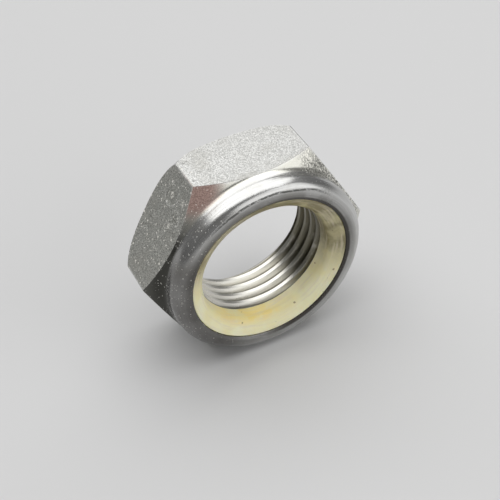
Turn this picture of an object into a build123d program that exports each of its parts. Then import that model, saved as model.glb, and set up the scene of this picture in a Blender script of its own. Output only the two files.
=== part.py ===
from build123d import *
import math
import os

# A thin hexagonal lock nut in two pieces: a steel nut body, and a nylon ring that is held in
# a pocket of the body by the body's own rolled rim.
# The nut stands on one of its flats with its thread axis level. The origin is the centre
# of the bearing face, +Y points out of that face along the thread axis, and +Z is up.
# A depth is measured from the bearing face, towards the rolled rim.
# Lengths are in millimetres and angles in degrees.

# Hexagon, from the bearing face to the root of the collar
across_flats = 31.75
hexagon_height = 10.1
hex_edge_radius = 0.3

# Thread 7/8-14, right hand: the bore is the wall left at the thread's crests
thread_major_diameter = 22.22
thread_depth = 0.88
thread_pitch = 25.4 / 14
thread_root_flat = 0.227
thread_flank_angle = 30.0
thread_start_depth = 8.29
countersink_width = 2.17
countersink_angle = 90.0

# Bearing side: a large crown rounds off the hexagon's corners
bearing_face_inset = 0.075
crown_radius = 4.4
crown_depth = 2.3

# Rim side: a cone cuts the hexagon's corners and runs into the collar through a fillet
shoulder_angle = 38.0
neck_radius = 1.4

# Collar, just inside the flats, with a fine crease where it leaves the neck fillet
collar_inset = 0.325
collar_height = 3.4
collar_wall = 1.35
crease_width = 0.72
crease_depth = 0.08

# Rim, rolled inwards over the ring
rim_bead_radius = 1.9
rim_reach = 2.85
rim_thickness = 1.25
lip_bevel_width = 0.5
lip_bevel_height = 0.2

# Pocket that the ring sits in, from the front of the rim
pocket_height = 3.86
pocket_corner_radius = 0.6

# Nylon ring: a sloping throat leads a bolt into a bore with a little draft
ring_clearance = 0.03
ring_bore_allowance = 0.02
ring_bore_draft = 0.12
ring_throat_setback = 1.65
ring_throat_radius = 1.6
ring_lip_setback = 0.05

flat_radius = across_flats / 2
corner_radius = flat_radius / math.cos(math.radians(30))
bearing_radius = flat_radius - bearing_face_inset
root_radius = thread_major_diameter / 2
bore_radius = root_radius - thread_depth
collar_radius = flat_radius - collar_inset
pocket_radius = collar_radius - collar_wall
lip_radius = collar_radius - rim_reach
overall_height = hexagon_height + collar_height
lip_edge_depth = overall_height - lip_bevel_height
rim_inside_depth = overall_height - rim_thickness
pocket_floor_depth = overall_height - pocket_height


def tangent(degrees):
    return math.tan(math.radians(degrees))


def turned(section):
    """A section, drawn as distance from the thread axis against height, turned all the way."""
    return revolve(section, Axis.Y, 360)


def rounded(section, place, radius):
    """A section with a fillet at its vertex nearest to one place."""
    corner = section.vertices().sort_by_distance(place)[0]
    return fillet(corner, radius)


def hexagon():
    """The hexagonal bar that the nut is formed from, with flats at the top and bottom."""
    outline = Plane.XZ * RegularPolygon(flat_radius, 6, major_radius=False)
    bar = extrude(outline, amount=overall_height)
    return fillet(bar.edges().filter_by(Axis.Y), hex_edge_radius)


def outside():
    """The turned outside: bearing crown, shoulder cone, neck, collar and rolled rim."""
    bearing_edge = (bearing_radius, 0)
    crown_end = (corner_radius, -crown_depth)
    shoulder_height = (corner_radius - collar_radius) * tangent(shoulder_angle)
    neck = (collar_radius, -hexagon_height)
    rim = (collar_radius, -overall_height)
    crown = RadiusArc(bearing_edge, crown_end, crown_radius)
    rest = Polyline(
        crown_end,
        (corner_radius, shoulder_height - hexagon_height),
        neck,
        rim,
        (lip_radius + lip_bevel_width, -overall_height),
        (lip_radius, -lip_edge_depth),
        (0, -lip_edge_depth),
        (0, 0),
        bearing_edge,
    )
    section = make_face([crown, rest])
    section = rounded(section, neck, neck_radius)
    section = rounded(section, rim, rim_bead_radius)
    return turned(section)


def crease():
    """The fine groove where the collar leaves the neck fillet."""
    depth = hexagon_height + neck_radius * tangent((90 - shoulder_angle) / 2)
    section = make_face(
        Polyline(
            (collar_radius - crease_depth, -depth),
            (collar_radius + crease_depth, -depth - crease_width / 2),
            (collar_radius + crease_depth, -depth + crease_width / 2),
            close=True,
        )
    )
    return turned(section)


def pocket(clearance):
    """The ring's pocket, or with a clearance the room that the ring itself may fill."""
    radius = pocket_radius - clearance
    front = clearance - rim_inside_depth
    section = make_face(
        Polyline(
            (0, -pocket_floor_depth),
            (radius, -pocket_floor_depth),
            (radius, front),
            (0, front),
            close=True,
        )
    )
    section = rounded(section, (radius, front), pocket_corner_radius)
    return turned(section)


def opening(radius, start_depth, end_depth):
    """A plain round opening between two depths."""
    section = make_face(
        Polyline(
            (0, -start_depth),
            (radius, -start_depth),
            (radius, -end_depth),
            (0, -end_depth),
            close=True,
        )
    )
    return turned(section)


def countersink():
    """The cone that leads a bolt into the thread from the bearing face."""
    radius = bore_radius + countersink_width
    depth = radius / tangent(countersink_angle / 2)
    section = make_face(Polyline((0, 0), (radius, 0), (0, -depth), close=True))
    return turned(section)


def thread_turn():
    """One right-hand turn of the thread's groove, which starts at +X on the bearing face."""
    slope = tangent(thread_flank_angle)
    root = thread_root_flat / 2
    crest_side = root + thread_depth * slope
    overshoot = (thread_pitch / 2 - crest_side) / slope / 2
    mouth = crest_side + overshoot * slope
    groove = Polyline(
        (bore_radius - overshoot, crest_side - mouth),
        (root_radius, crest_side - root),
        (root_radius, crest_side + root),
        (bore_radius - overshoot, crest_side + mouth),
        close=True,
    )
    section = Plane.XZ * make_face(groove)
    turn = sweep(section, Helix(thread_pitch, thread_pitch, bore_radius), is_frenet=True)
    return Rot(X=-90) * turn


def thread():
    """The turns of the groove from inside the ring's pocket out through the bearing face."""
    beyond_floor = math.ceil((pocket_floor_depth - thread_start_depth) / thread_pitch) + 1
    before_floor = math.ceil(thread_start_depth / thread_pitch) + 1
    turn = thread_turn()
    return [
        Pos(0, k * thread_pitch - thread_start_depth, 0) * turn
        for k in range(-beyond_floor, before_floor)
    ]


def nut_body():
    """Steel hexagon, collar and rolled rim in one piece, with its thread and the ring's pocket."""
    body = hexagon() & outside()
    body -= crease()
    body -= opening(bore_radius, 0, pocket_floor_depth)
    body -= countersink()
    body -= pocket(0)
    body -= opening(lip_radius, rim_inside_depth, overall_height)
    for turn in thread():
        body -= turn
    return body


def nylon_ring():
    """Ring whose outside fills the pocket and whose throat slopes in from the rim's lip."""
    bore = bore_radius + ring_bore_allowance
    edge = lip_radius - ring_clearance
    throat = (bore + ring_bore_draft, ring_throat_setback - overall_height)
    section = make_face(
        Polyline(
            (bore, -pocket_floor_depth),
            throat,
            (edge, ring_lip_setback - lip_edge_depth),
            (edge, -pocket_floor_depth),
            close=True,
        )
    )
    section = rounded(section, throat, ring_throat_radius)
    return turned(section) + (pocket(ring_clearance) - opening(edge, 0, overall_height))


os.makedirs("parts", exist_ok=True)
export_step(nut_body(), "parts/nut_body.step")
export_step(nylon_ring(), "parts/nylon_ring.step")
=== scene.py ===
import math

import bmesh
import bpy
from mathutils import Matrix, Vector


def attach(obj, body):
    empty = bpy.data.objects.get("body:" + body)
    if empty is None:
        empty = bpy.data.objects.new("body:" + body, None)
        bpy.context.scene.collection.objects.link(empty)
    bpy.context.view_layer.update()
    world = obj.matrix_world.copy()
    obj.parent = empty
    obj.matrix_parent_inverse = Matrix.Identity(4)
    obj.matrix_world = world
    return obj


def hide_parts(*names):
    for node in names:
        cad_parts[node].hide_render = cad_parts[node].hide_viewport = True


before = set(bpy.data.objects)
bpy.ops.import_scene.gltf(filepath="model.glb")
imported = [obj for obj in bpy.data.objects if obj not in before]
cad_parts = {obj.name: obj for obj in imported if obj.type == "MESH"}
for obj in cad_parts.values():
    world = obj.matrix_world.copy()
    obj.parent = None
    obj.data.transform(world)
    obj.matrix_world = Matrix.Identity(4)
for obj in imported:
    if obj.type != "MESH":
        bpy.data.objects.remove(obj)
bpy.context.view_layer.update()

# A thin hexagonal lock nut with a nylon ring in its crimped collar. It stands on one flat.
# The origin is the centre of the bearing face, +Y points out of that face and +Z is up.
# Sizes are in millimetres and degrees, and MM turns them into Blender's metres. Only the floor's
# width and the lights are given in metres.
MM = 0.001

# Steel body. The crease starts a gap past the neck and ends at its reach.
across_flats = 31.75
hexagon_height = 10.1
overall_height = 13.5
hex_edge_radius = 0.3
bearing_face_inset = 0.075
crown_radius = 4.4
crown_depth = 2.3
shoulder_angle = 38.0
neck_radius = 1.4
collar_inset = 0.325
collar_wall = 1.35
crease_gap = 0.02
crease_reach = 0.36
crease_depth = 0.012
crease_round = 0.6
rim_bead_radius = 1.9
rim_reach = 2.85
rim_thickness = 1.25
lip_bevel_width = 0.5
lip_bevel_height = 0.2
lip_front_round = 0.3
lip_edge_round = 0.08
pocket_height = 3.86
pocket_corner_radius = 0.6

# Thread 7/8-14, right hand
thread_minor_diameter = 20.46
thread_major_diameter = 22.22
thread_pitch = 25.4 / 14
thread_root_flat = thread_pitch / 8
thread_flank_angle = 30.0
thread_crest_height = -8.29
countersink_width = 2.17

# Tap that cuts the thread, and how far it runs past the pocket's floor and the bearing face
tap_turns = 10
tap_lead_turns = 3
tap_overrun_inside = 0.4
tap_overrun_outside = 1.0

# Stock on the turned blank, which the flats and the tap cut away
corner_stock = 0.4
bore_stock = 0.6

# Nylon ring
ring_clearance = 0.03
ring_bore_allowance = 0.02
ring_bore_draft = 0.12
ring_throat_setback = 1.65
ring_throat_radius = 1.6
ring_lip_setback = 0.05
ring_lip_round = 0.1

# How finely round shapes are divided, and the angle past which an edge stays sharp
turn_steps = 240
arc_step = 6.0
crown_steps = 9
corner_steps = 4
sharp_angle = 28.0

flat_radius = across_flats / 2
corner_radius = flat_radius / math.cos(math.radians(30))
envelope_radius = corner_radius + corner_stock
bearing_radius = flat_radius - bearing_face_inset
bore_radius = thread_minor_diameter / 2
root_radius = thread_major_diameter / 2
collar_radius = flat_radius - collar_inset
pocket_radius = collar_radius - collar_wall
lip_radius = collar_radius - rim_reach
lip_height = lip_bevel_height - overall_height
pocket_floor = pocket_height - overall_height


def rounded_outline(corners):
    """Points of an outline of (r, y, radius) corners, each rounded by an arc of its radius."""
    points = []
    count = len(corners)
    for i, (r, y, radius) in enumerate(corners):
        here = Vector((r, y))
        if radius == 0:
            points.append(here)
            continue
        back = (Vector(corners[i - 1][:2]) - here).normalized()
        ahead = (Vector(corners[(i + 1) % count][:2]) - here).normalized()
        half_angle = back.angle(ahead) / 2
        centre = here + (back + ahead).normalized() * radius / math.sin(half_angle)
        start = here + back * radius / math.tan(half_angle) - centre
        turn = start.angle_signed(here + ahead * radius / math.tan(half_angle) - centre)
        steps = max(2, round(abs(math.degrees(turn)) / arc_step))
        for k in range(steps + 1):
            points.append(centre + Matrix.Rotation(-turn * k / steps, 2) @ start)
    return points


def turned(outline):
    """A closed mesh: an outline of (r, y) points spun round the thread axis.

    It starts half a step off +X, so that no vertex of it lies on a corner of the hexagon.
    """
    bm = bmesh.new()
    half_step = Matrix.Rotation(math.pi / turn_steps, 4, "Y")
    verts = [bm.verts.new(half_step @ Vector((r * MM, y * MM, 0))) for r, y in outline]
    edges = [bm.edges.new(pair) for pair in zip(verts, verts[1:] + verts[:1])]
    bmesh.ops.spin(
        bm,
        geom=verts + edges,
        cent=(0, 0, 0),
        axis=(0, 1, 0),
        angle=math.tau,
        steps=turn_steps,
        use_merge=True,
    )
    bmesh.ops.remove_doubles(bm, verts=bm.verts[:], dist=1e-7)
    bmesh.ops.recalc_face_normals(bm, faces=bm.faces[:])
    return bm


def finished(bm, name):
    """The object that a mesh becomes, at the origin."""
    mesh = bpy.data.meshes.new(name)
    bm.to_mesh(mesh)
    bm.free()
    piece = bpy.data.objects.new(name, mesh)
    bpy.context.scene.collection.objects.link(piece)
    return piece


def crown_points():
    """The rounded bearing side, from the bearing face's edge out to the blank's outside."""
    edge = Vector((bearing_radius, 0))
    corner = Vector((corner_radius, -crown_depth))
    chord = corner - edge
    inward = Vector((chord.y, -chord.x)).normalized()
    rise = math.sqrt(crown_radius**2 - (chord.length / 2) ** 2)
    centre = (edge + corner) / 2 + inward * rise
    start = edge - centre
    turn = start.angle_signed(corner - centre)
    angles = [-turn * k / crown_steps for k in range(crown_steps + 1)]
    arc = [centre + Matrix.Rotation(angle, 2) @ start for angle in angles]
    slope = (arc[-1] - arc[-2]).normalized()
    reach = (envelope_radius - corner_radius) / slope.x
    return arc + [arc[-1] + slope * reach]


def body_outline():
    """Half section of the turned blank, before its flats and its thread are cut."""
    crown = [(p.x, p.y, 0) for p in crown_points()]
    fall = math.tan(math.radians(shoulder_angle))
    neck_turn = math.radians(90 - shoulder_angle)
    neck_end = -hexagon_height - neck_radius * math.tan(neck_turn / 2)
    crease_middle = (crease_gap + crease_reach) / 2
    blank_bore = bore_radius - bore_stock
    countersink_depth = countersink_width + bore_radius - blank_bore
    corners = crown + [
        (envelope_radius, (envelope_radius - collar_radius) * fall - hexagon_height, 0),
        (collar_radius, -hexagon_height, neck_radius - crease_gap),
        (collar_radius, neck_end - crease_gap, crease_round),
        (collar_radius - crease_depth, neck_end - crease_middle, crease_round),
        (collar_radius, neck_end - crease_reach, crease_round),
        (collar_radius, -overall_height, rim_bead_radius),
        (lip_radius + lip_bevel_width, -overall_height, lip_front_round),
        (lip_radius, lip_height, lip_edge_round),
        (lip_radius, rim_thickness - overall_height, lip_edge_round),
        (pocket_radius, rim_thickness - overall_height, pocket_corner_radius),
        (pocket_radius, pocket_floor, 0),
        (blank_bore, pocket_floor, 0),
        (blank_bore, -countersink_depth, 0),
        (bore_radius + countersink_width, 0, 0),
    ]
    return rounded_outline(corners)


def cut_off(bm, place, normal):
    """Cuts away all that lies beyond a plane and closes the cut."""
    cut = bmesh.ops.bisect_plane(
        bm,
        geom=bm.verts[:] + bm.edges[:] + bm.faces[:],
        dist=1e-8,
        plane_co=Vector(place) * MM,
        plane_no=normal,
        clear_outer=True,
    )
    edges = [part for part in cut["geom_cut"] if isinstance(part, bmesh.types.BMEdge)]
    bmesh.ops.edgeloop_fill(bm, edges=edges)


def flat_normals():
    """The directions that the six flats face."""
    angles = [math.radians(60 * k + 30) for k in range(6)]
    return [Vector((math.cos(angle), 0, math.sin(angle))) for angle in angles]


def is_flat(face):
    """Whether a face is one of the six flats, which are single faces with many vertices."""
    facing = max(face.normal.dot(normal) for normal in flat_normals())
    return facing > 0.9999 and len(face.verts) > 8


def round_corners(bm):
    """Rounds the six edges where two flats meet."""
    bm.normal_update()
    flats = [face for face in bm.faces if is_flat(face)]
    corners = [edge for edge in bm.edges if all(face in flats for face in edge.link_faces)]
    setback = hex_edge_radius * math.tan(math.radians(30))
    bmesh.ops.bevel(
        bm,
        geom=corners,
        offset=setback * MM,
        offset_type="OFFSET",
        segments=corner_steps,
        profile=0.5,
        affect="EDGES",
        material=-1,
    )


def thread_cutter():
    """A tap: a core as wide as the minor diameter with the thread's helical ridge on it."""
    flank = (root_radius - bore_radius) * math.tan(math.radians(thread_flank_angle))
    outline = []
    for k in range(tap_turns):
        start = thread_crest_height + (k - tap_lead_turns) * thread_pitch
        outline += [
            (bore_radius, start),
            (root_radius, start + flank),
            (root_radius, start + flank + thread_root_flat),
            (bore_radius, start + 2 * flank + thread_root_flat),
        ]
    bm = bmesh.new()
    verts = [bm.verts.new((r * MM, y * MM, 0)) for r, y in outline]
    edges = [bm.edges.new(pair) for pair in zip(verts, verts[1:])]
    bmesh.ops.spin(
        bm,
        geom=verts + edges,
        cent=(0, 0, 0),
        axis=(0, 1, 0),
        dvec=(0, thread_pitch * MM / turn_steps, 0),
        angle=math.tau,
        steps=turn_steps,
    )
    bmesh.ops.remove_doubles(bm, verts=bm.verts[:], dist=1e-6)
    cut_off(bm, (0, pocket_floor - tap_overrun_inside, 0), (0, -1, 0))
    cut_off(bm, (0, tap_overrun_outside, 0), (0, 1, 0))
    bmesh.ops.recalc_face_normals(bm, faces=bm.faces[:])
    return finished(bm, "tap")


def nut_body():
    """The steel hexagon with its collar and rolled rim, threaded by the tap."""
    bm = turned(body_outline())
    for normal in flat_normals():
        cut_off(bm, normal * flat_radius, normal)
    bmesh.ops.remove_doubles(bm, verts=bm.verts[:], dist=1e-5)
    round_corners(bm)
    body = finished(bm, "steel_body")
    tap = thread_cutter()
    boolean = body.modifiers.new("thread", "BOOLEAN")
    boolean.operation = "DIFFERENCE"
    boolean.solver = "EXACT"
    boolean.object = tap
    threaded = body.evaluated_get(bpy.context.evaluated_depsgraph_get())
    mesh = bpy.data.meshes.new_from_object(threaded)
    body.modifiers.clear()
    body.data = mesh
    bpy.data.objects.remove(tap)
    return body


def ring_outline():
    """Half section of the nylon ring."""
    bore = bore_radius + ring_bore_allowance
    edge = lip_radius - ring_clearance
    under = rim_thickness - overall_height + ring_clearance
    outer = pocket_radius - ring_clearance
    return rounded_outline([
        (bore, pocket_floor, 0),
        (bore + ring_bore_draft, ring_throat_setback - overall_height, ring_throat_radius),
        (edge, lip_height + ring_lip_setback, ring_lip_round),
        (edge, under, 0),
        (outer, under, pocket_corner_radius),
        (outer, pocket_floor, 0),
    ])


def nylon_ring():
    """The nylon ring that fills the body's pocket."""
    return finished(turned(ring_outline()), "nylon_insert")


class Value:
    """A shader socket. An operator on it adds the Math node for that sum."""

    def __init__(self, sheet, socket):
        self.sheet = sheet
        self.socket = socket

    def output(self, key):
        """Another output of the same node."""
        return Value(self.sheet, self.socket.node.outputs[key])

    def maths(self, operation, *values):
        return self.sheet.node("ShaderNodeMath", {"operation": operation}, dict(enumerate(values)))

    def __add__(self, other):
        return self.maths("ADD", self, other)

    def __radd__(self, other):
        return self.maths("ADD", other, self)

    def __sub__(self, other):
        return self.maths("SUBTRACT", self, other)

    def __rsub__(self, other):
        return self.maths("SUBTRACT", other, self)

    def __mul__(self, other):
        return self.maths("MULTIPLY", self, other)

    def __rmul__(self, other):
        return self.maths("MULTIPLY", other, self)

    def __truediv__(self, other):
        return self.maths("DIVIDE", self, other)

    def __abs__(self):
        return self.maths("ABSOLUTE", self)

    def most(self, other):
        """The greater of two values."""
        return self.maths("MAXIMUM", self, other)

    def root(self):
        return self.maths("SQRT", self)

    def rise(self, low, high):
        """0 below low, 1 above high and a smooth step between; falls where low is above high."""
        ends = (0.0, 1.0) if low < high else (1.0, 0.0)
        inputs = {
            "Value": self,
            "From Min": min(low, high),
            "From Max": max(low, high),
            "To Min": ends[0],
            "To Max": ends[1],
        }
        return self.sheet.node("ShaderNodeMapRange", {"interpolation_type": "SMOOTHSTEP"}, inputs)


class Sheet:
    """A material's nodes, with the place on the piece in millimetres as x, y and z."""

    def __init__(self, name):
        self.material = bpy.data.materials.new(name)
        self.material.use_nodes = True
        self.tree = self.material.node_tree
        self.tree.nodes.clear()
        metres = self.node("ShaderNodeTexCoord", output="Object")
        self.place = self.vector_maths("SCALE", {0: metres, "Scale": 1 / MM})
        split = self.node("ShaderNodeSeparateXYZ", inputs={0: self.place})
        self.x, self.y, self.z = (split.output(k) for k in range(3))
        self.radius = (self.x * self.x + self.z * self.z).root()

    def node(self, kind, settings=None, inputs=None, output=0):
        """Adds a node: its settings first, then the values or links of its sockets."""
        node = self.tree.nodes.new(kind)
        for name, value in (settings or {}).items():
            setattr(node, name, value)
        for key, value in (inputs or {}).items():
            if isinstance(value, Value):
                self.tree.links.new(value.socket, node.inputs[key])
            else:
                node.inputs[key].default_value = value
        return Value(self, node.outputs[output]) if node.outputs else node

    def vector_maths(self, operation, inputs, output=0):
        return self.node("ShaderNodeVectorMath", {"operation": operation}, inputs, output)

    def noise(self, per_mm, detail, roughness):
        """Noise from 0 to 1 with about so many grains to a millimetre."""
        inputs = {"Vector": self.place, "Scale": per_mm, "Detail": detail, "Roughness": roughness}
        return self.node("ShaderNodeTexNoise", None, inputs)

    def turned_lines(self, along, across, roughness):
        """Fine lines round the thread axis, with so much change along and across them."""
        place = {
            "X": self.x / self.radius * along,
            "Y": self.y * across,
            "Z": self.z / self.radius * along,
        }
        inputs = {
            "Vector": self.node("ShaderNodeCombineXYZ", None, place),
            "W": self.radius * across,
            "Scale": 1.0,
            "Detail": 3.0,
            "Roughness": roughness,
        }
        return self.node("ShaderNodeTexNoise", {"noise_dimensions": "4D"}, inputs)

    def spots(self, per_mm, share, size, seed=0.0):
        """Scattered ragged spots: a share of the cells holds one, of up to that size in cells."""
        inputs = {"Vector": self.place, "Scale": per_mm * 3}
        warp = self.node("ShaderNodeTexNoise", None, inputs, "Color")
        moved = self.vector_maths("ADD", {0: self.place, 1: (seed,) * 3})
        ragged = self.vector_maths("MULTIPLY_ADD", {0: warp, 1: (0.35 / per_mm,) * 3, 2: moved})
        away = self.node("ShaderNodeTexVoronoi", None, {"Vector": ragged, "Scale": per_mm})
        code = self.node("ShaderNodeSeparateColor", None, {0: away.output("Color")})
        chosen = code.rise(1 - share, 1 - share + 0.02)
        reach = code.output(1) * size + size * 0.3
        return chosen * (away / reach).rise(1.0, 0.55)

    def away(self, place):
        """The distance from a place on the piece."""
        return self.vector_maths("DISTANCE", {0: self.place, 1: place}, 1)

    def near(self, place, inner, outer):
        """1 near a place, falling to 0 from the inner to the outer distance."""
        return self.away(place).rise(outer, inner)

    def dent(self, place, radius, ripple):
        """A shallow round dent, from 0 at its rim to 1, and two raised rings on its floor."""
        away = self.away(place) + (self.noise(0.8, 2.0, 0.5) - 0.5) * 1.1
        outer_ring = abs(away - radius * 0.85).rise(0.16, 0.04)
        inner_ring = abs(away - radius * 0.5).rise(0.12, 0.03) * ripple
        return away.rise(radius, radius * 0.4), outer_ring + inner_ring

    def mix(self, factor, a, b):
        """A colour between a and b."""
        return self.node("ShaderNodeMix", {"data_type": "RGBA"}, {0: factor, 6: a, 7: b}, output=2)

    def layered(self, tone, layers):
        """A colour under layers of (cover, colour), with the last on top."""
        for cover, colour in layers:
            tone = self.mix(cover, tone, colour)
        return tone

    def bump(self, height, distance, strength):
        """The normal of a relief whose height of 1 is so many millimetres."""
        inputs = {"Height": height, "Distance": distance * MM, "Strength": strength}
        return self.node("ShaderNodeBump", None, inputs)

    def finish(self, **inputs):
        """The Principled surface, with underscores in a socket's name for its spaces."""
        inputs = {name.replace("_", " "): value for name, value in inputs.items()}
        surface = self.node("ShaderNodeBsdfPrincipled", None, inputs)
        self.node("ShaderNodeOutputMaterial", None, {0: surface})
        return self.material


class SteelSheet(Sheet):
    """The steel's nodes, with its patterns and a mask for each part of the body.

    A mask is 1 on its part and 0 off it. Left is -X, right is +X and the rim's side is the front.
    """

    def __init__(self):
        super().__init__("plated_steel")
        first, second, third = (abs(self.along(60 * k + 30)) for k in range(3))
        self.reach = first.most(second).most(third)
        self.flat = self.reach.rise(flat_radius - 0.06, flat_radius - 0.01)
        self.off_flat = 1 - self.flat
        self.left_flat = self.along(150).rise(flat_radius - 0.3, flat_radius - 0.1) * self.flat
        self.bore = self.radius.rise(11.5, 11.3)
        self.off_bore = 1 - self.bore
        self.front = self.y.rise(-10.0, -10.6)
        self.left = self.x.rise(-3.0, -12.0)
        self.right = self.x.rise(6.0, 14.0) * self.off_flat
        neck = self.x.rise(6.0, 9.5) * self.z.rise(-2.0, 1.0)
        neck = neck * self.y.rise(-11.5, -11.0) * self.y.rise(-6.5, -7.8)
        self.right_neck = neck * self.off_flat * self.off_bore
        self.sand = self.noise(5.5, 3.0, 0.75)
        self.coarse = self.noise(1.8, 3.0, 0.65)
        self.cloud = self.noise(0.25, 3.0, 0.55)
        self.lines = self.turned_lines(2.0, 5.0, 0.65)

    def along(self, degrees):
        """How far a place lies from the axis, along a direction so many degrees up from +X."""
        angle = math.radians(degrees)
        return self.x * math.cos(angle) + self.z * math.sin(angle)


def rgb(red, green, blue):
    """An opaque colour."""
    return (red, green, blue, 1.0)


def white_specks(steel):
    """Dust on the flats and the left, and grit on the upper-left flat and the right-hand neck."""
    dust = steel.spots(1.3, 0.70, 0.25) * (0.10 + 0.90 * steel.left) * (0.15 + 0.85 * steel.flat)
    gritty = 0.12 + 0.88 * steel.left_flat.most(steel.right_neck)
    gritty = gritty.most(steel.left * steel.off_flat * 0.5)
    grit = steel.spots(2.6, 0.60, 0.27, 7.3) * gritty
    return dust.most(grit) * (1 - steel.bore * 0.7)


def neck_grains(steel):
    """Dark pits, and painted highlights as white glints, in the right-hand neck."""
    grain = steel.noise(4.0, 2.0, 0.6)
    pits = steel.right_neck * grain.rise(0.50, 0.44) * (steel.y.rise(-8.2, -9.4) * 0.75 + 0.25)
    return pits, steel.right_neck * grain.rise(0.56, 0.60)


def chamfer_stain(steel):
    """A brown stain on the upper-left chamfer."""
    stain = steel.near((-9.6, -8.7, 15.8), 2.4, 5.4)
    return stain * steel.off_flat * (1 - steel.front) * steel.cloud.rise(0.25, 0.45)


def rim_fold_dirt_and_shade(steel):
    """A dark line along the fold at the top of the rim: painted shade in the fold, with dirt."""
    fold = abs(steel.radius - 14.4 + (steel.cloud - 0.5) * 0.5).rise(0.20, 0.06)
    return fold * steel.front * steel.z.rise(10.0, 13.0) * steel.coarse.rise(0.36, 0.48)


def dull_shoulder(steel):
    """The dull plating on the chamfers and the neck."""
    shoulder = steel.y.rise(-10.8, -10.2) * steel.y.rise(-6.5, -7.5)
    return shoulder * steel.off_flat * steel.off_bore * 0.7


def lip_painted_shade(steel):
    """Painted shade on the lip: grey, darker towards the top."""
    lip = steel.front * steel.radius.rise(14.9, 13.2) * steel.off_bore
    lip = lip * (0.7 + 0.3 * steel.cloud.rise(0.35, 0.6))
    return lip * (0.45 + 0.45 * steel.z.rise(-8.0, 6.0))


def thread_painted_shade(steel):
    """Painted shade in the thread's root, and over the thread at the right and the top."""
    dirt = steel.x.rise(4.0, 9.5).most(steel.z.rise(0.0, 6.0))
    dirt = dirt * (0.5 + 0.5 * steel.cloud.rise(0.3, 0.5)) * 0.9
    return steel.bore * (steel.radius.rise(10.75, 11.05) * 0.65).most(dirt)


def lip_gap_painted_shade(steel):
    """Painted shade between the lip and the nylon, on the right."""
    near_lip = steel.front * steel.radius.rise(13.35, 13.05)
    return near_lip * steel.off_bore * steel.x.rise(-5.0, 3.0)


def crease_painted_shade(steel):
    """A thin line of painted shade in the crease, on the right."""
    seam = abs(steel.y + 10.8 + (steel.coarse - 0.5) * 0.2).rise(0.16, 0.05)
    return seam * steel.x.rise(5.0, 11.0) * steel.off_flat * steel.off_bore


def left_painted_reflection(steel):
    """A painted dark reflection on the left of the bead."""
    film = steel.near((-13.0, -12.5, -4.0), 8.0, 16.0) * steel.y.rise(-8.0, -9.5)
    return film * steel.off_flat * (0.65 + 0.35 * steel.cloud)


def left_chamfer_painted_reflection(steel):
    """A painted black reflection on the left chamfer and neck."""
    oil = steel.near((-15.5, -9.0, 1.5), 6.0, 11.0)
    return oil * steel.y.rise(-10.9, -10.3) * steel.y.rise(-5.0, -7.0) * steel.off_flat


def flat_dents(steel):
    """Two round dents in the upper-left flat, and the ripples on their floors."""
    large_dent, large_ripple = steel.dent((-11.0, -4.6, 12.6), 1.9, 0.7)
    small_dent, small_ripple = steel.dent((-12.1, -7.4, 10.8), 1.3, 1.0)
    dents = large_dent.most(small_dent) * steel.flat
    return dents, large_ripple.most(small_ripple) * steel.flat * steel.coarse.rise(0.42, 0.58)


def flat_chips(steel):
    """Three white chips in the upper-left flat."""
    chips = steel.near((-11.0, -4.6, 12.7), 0.2, 0.7)
    chips = chips.most(steel.near((-10.8, -7.6, 13.1), 0.2, 0.7))
    chips = chips.most(steel.near((-12.9, -6.9, 9.4), 0.2, 0.6))
    return chips * steel.flat * steel.sand.rise(0.44, 0.56)


def edge_wear(steel):
    """Bright wear along the edges of the flats and the corners between them."""
    border = steel.reach.rise(flat_radius - 0.40, flat_radius - 0.03) * steel.off_flat
    sideways = (steel.radius * steel.radius - steel.reach * steel.reach).most(0.0).root()
    corner = ((corner_radius / 2 - sideways) * steel.flat).rise(0.5, 0.1) * steel.flat
    return border.most(corner) * (0.25 + steel.coarse.rise(0.40, 0.60) * 0.45)


def clean_tone(steel):
    """The plating's colour: fine lines where it was turned and sand on the flats, with painted shade
    making the upper-left flat darker.
    """
    sand = steel.sand
    turned_tone = steel.mix(steel.lines.rise(0.3, 0.7), rgb(0.52, 0.52, 0.51), rgb(0.66, 0.66, 0.65))
    flat_tone = steel.mix(sand.rise(0.36, 0.64), rgb(0.40, 0.40, 0.385), rgb(0.82, 0.82, 0.80))
    # painted shade: the upper-left flat is darker than the other flats
    left_flat_painted_shade_tone = steel.mix(sand.rise(0.38, 0.62), rgb(0.27, 0.27, 0.245), rgb(0.66, 0.66, 0.62))
    flat_tone = steel.mix(steel.left_flat, flat_tone, left_flat_painted_shade_tone)
    tone = steel.mix(steel.flat, turned_tone, flat_tone)
    return steel.mix(steel.cloud.rise(0.45, 0.75) * 0.45, tone, rgb(0.44, 0.43, 0.39))


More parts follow.
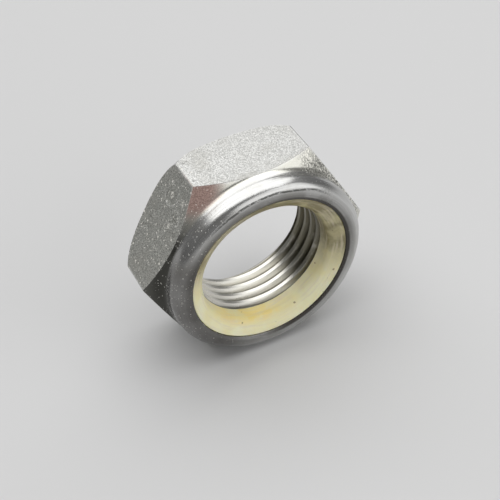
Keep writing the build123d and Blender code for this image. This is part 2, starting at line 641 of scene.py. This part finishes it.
def plated_steel():
    """Plated steel, sandy on the flats and smooth elsewhere, with specks, dents, a stain and dirt,
    and painted shade, highlights and reflections.
    """
    steel = SteelSheet()
    speck = white_specks(steel)
    pits, painted_glint = neck_grains(steel)
    stain = chamfer_stain(steel)
    fold = rim_fold_dirt_and_shade(steel)
    gap = lip_gap_painted_shade(steel)
    dents, ripples = flat_dents(steel)
    chips = flat_chips(steel)
    dings = steel.spots(0.7, 0.8, 0.45, 3.1) * steel.flat * steel.left
    stain_tone = steel.mix(steel.sand.rise(0.4, 0.6), rgb(0.26, 0.15, 0.12), rgb(0.50, 0.33, 0.29))

    tone = steel.layered(clean_tone(steel), [
        (dull_shoulder(steel), rgb(0.72, 0.71, 0.63)),
        # painted shade on the lip, darker towards the top
        (lip_painted_shade(steel), rgb(0.18, 0.175, 0.165)),
        (steel.bore * 0.8, rgb(0.78, 0.76, 0.69)),
        # painted shade in the thread's root and on its right and top
        (thread_painted_shade(steel), rgb(0.11, 0.10, 0.065)),
        (edge_wear(steel), rgb(0.80, 0.80, 0.78)),
        # painted dark reflection on the left of the bead
        (left_painted_reflection(steel) * 0.92, rgb(0.09, 0.085, 0.08)),
        # painted black reflection on the left chamfer and neck
        (left_chamfer_painted_reflection(steel) * 0.9, rgb(0.04, 0.04, 0.035)),
        (pits * 0.85, rgb(0.13, 0.13, 0.12)),
        (stain * 0.9, stain_tone),
        # painted shade and dirt along the fold at the top of the rim
        (fold * 0.85, rgb(0.06, 0.06, 0.055)),
        # painted highlights on the dents' raised ripples, and painted shade on their floors
        (ripples * 0.7, rgb(0.85, 0.85, 0.82)),
        (dents * 0.4, rgb(0.24, 0.24, 0.21)),
        # painted shade between the lip and the nylon, and in the crease, on the right
        (gap.most(crease_painted_shade(steel) * 0.8), rgb(0.05, 0.045, 0.04)),
        # white specks and chips, and painted highlights as glints in the neck
        (speck.most(chips).most(painted_glint), rgb(0.92, 0.90, 0.83)),
    ])

    metal = 1 - speck.most(chips) * 0.9 - fold.most(gap) * 0.6 - stain * 0.75
    rough = 0.17 + steel.flat * 0.24 + steel.bore * 0.05 + steel.sand * 0.08 + steel.coarse * 0.06
    rough = rough + pits * 0.2 + speck * 0.3 + steel.right * 0.08
    relief = steel.flat * (steel.sand * 0.8 + steel.coarse * 0.5 - dings * 1.6)
    relief = relief + steel.off_flat * (steel.lines * 0.16 + steel.sand * 0.07)
    relief = relief - dents * 5.0 + ripples * 1.6
    relief = relief + speck * 0.9 - pits * 0.7 - fold * 0.8 + steel.right * steel.sand * 0.25
    normal = steel.bump(relief, 0.05, 0.8)
    return steel.finish(Base_Color=tone, Metallic=metal, Roughness=rough, Normal=normal)


def yellowed_nylon():
    """Yellowed nylon with cream streaks and nicks, an orange band, and painted shade on the right
    and the top.
    """
    nylon = Sheet("yellowed_nylon")
    streak = nylon.turned_lines(3.0, 2.6, 0.6)
    cloud = nylon.noise(0.3, 3.0, 0.6)
    nick = nylon.spots(1.1, 0.16, 0.22, 1.7)
    band = nylon.radius.rise(11.6, 10.5) * (nylon.z.rise(-2.0, -9.0) * nylon.x.rise(6.0, 0.0))
    band = band * cloud.rise(0.3, 0.55) * 0.9
    # painted shade: dark olive on the right and the top
    shade = (nylon.x.rise(2.0, 9.0) * nylon.z.rise(-7.0, 1.0)).most(nylon.z.rise(-1.0, 7.0))
    shade = shade * (0.6 + 0.4 * cloud.rise(0.35, 0.6)) * 0.92

    tone = nylon.mix(cloud.rise(0.3, 0.7), rgb(0.92, 0.85, 0.50), rgb(0.96, 0.92, 0.64))
    tone = nylon.layered(tone, [
        (band, rgb(0.96, 0.76, 0.26)),
        # painted shade on the right and the top
        (shade, rgb(0.20, 0.165, 0.07)),
        (streak.rise(0.45, 0.70) * 0.5, rgb(0.82, 0.74, 0.58)),
        (nick * 0.75, rgb(0.26, 0.20, 0.10)),
    ])

    return nylon.finish(
        Base_Color=tone,
        Roughness=0.24 + streak * 0.12 + nick * 0.2,
        Subsurface_Weight=0.35,
        Subsurface_Radius=(1.0, 0.8, 0.4),
        Subsurface_Scale=0.6 * MM,
        IOR=1.53,
        Normal=nylon.bump(streak * 0.8 + cloud - nick * 0.8, 0.05, 0.6),
    )


def pale_floor():
    """The plain floor's matt grey."""
    return Sheet("pale_floor").finish(Base_Color=rgb(0.62, 0.62, 0.62), Roughness=0.8)


def smooth(piece):
    """Smooth shading, with the edges kept where a piece turns sharply."""
    piece.data.shade_smooth()
    piece.data.set_sharp_from_angle(angle=math.radians(sharp_angle))


def softbox(name, place, size, power):
    """A soft rectangular light that is aimed at the origin, in metres and watts."""
    light = bpy.data.lights.new(name, "AREA")
    light.shape = "RECTANGLE"
    light.size, light.size_y = size
    light.energy = power
    lamp = bpy.data.objects.new(name, light)
    bpy.context.scene.collection.objects.link(lamp)
    lamp.location = place
    lamp.rotation_euler = (-Vector(place)).to_track_quat("-Z", "Y").to_euler()


body = nut_body()
smooth(body)
body.data.materials.append(plated_steel())
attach(body, "root")
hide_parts("nut_body")

ring = nylon_ring()
smooth(ring)
ring.data.materials.append(yellowed_nylon())
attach(ring, "root")
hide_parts("nylon_ring")

# Floor, level with the flat that the nut stands on
floor_half_width = 2.0
floor_place = Matrix.Translation((0, 0, -flat_radius * MM))
bm = bmesh.new()
bmesh.ops.create_grid(bm, x_segments=1, y_segments=1, size=floor_half_width, matrix=floor_place)
floor = finished(bm, "floor")
floor.data.materials.append(pale_floor())

# Camera, with the directions of its picture's right, down and depth
image_size = 500
focal_pixels = 1131.15
sensor_width = 36
camera_place = Vector((-53.804, -119.65, 115.642)) * MM
camera_right = Vector((0.89089, -0.45323, -0.02989))
camera_down = Vector((-0.32913, -0.59879, -0.73015))
camera_ahead = Vector((0.31303, 0.66033, -0.68263))
lens = bpy.data.cameras.new("camera")
lens.sensor_width = sensor_width
lens.lens = focal_pixels / image_size * sensor_width
lens.clip_start = 0.005
camera = bpy.data.objects.new("camera", lens)
bpy.context.scene.collection.objects.link(camera)
camera_turn = Matrix((camera_right, -camera_down, -camera_ahead)).transposed()
camera.matrix_world = Matrix.Translation(camera_place) @ camera_turn.to_4x4()
bpy.context.scene.camera = camera

# Light
world_brightness = 0.18
softbox("window", place=(0.02, 0.13, 0.52), size=(1.0, 0.85), power=4.5)
softbox("fill", place=(0.26, -0.44, 0.24), size=(0.76, 0.44), power=1.2)
world = bpy.data.worlds.new("world")
bpy.context.scene.world = world
world.use_nodes = True
background = world.node_tree.nodes["Background"]
background.inputs["Color"].default_value = (1, 1, 1, 1)
background.inputs["Strength"].default_value = world_brightness
bpy.context.scene.view_settings.view_transform = "Standard"
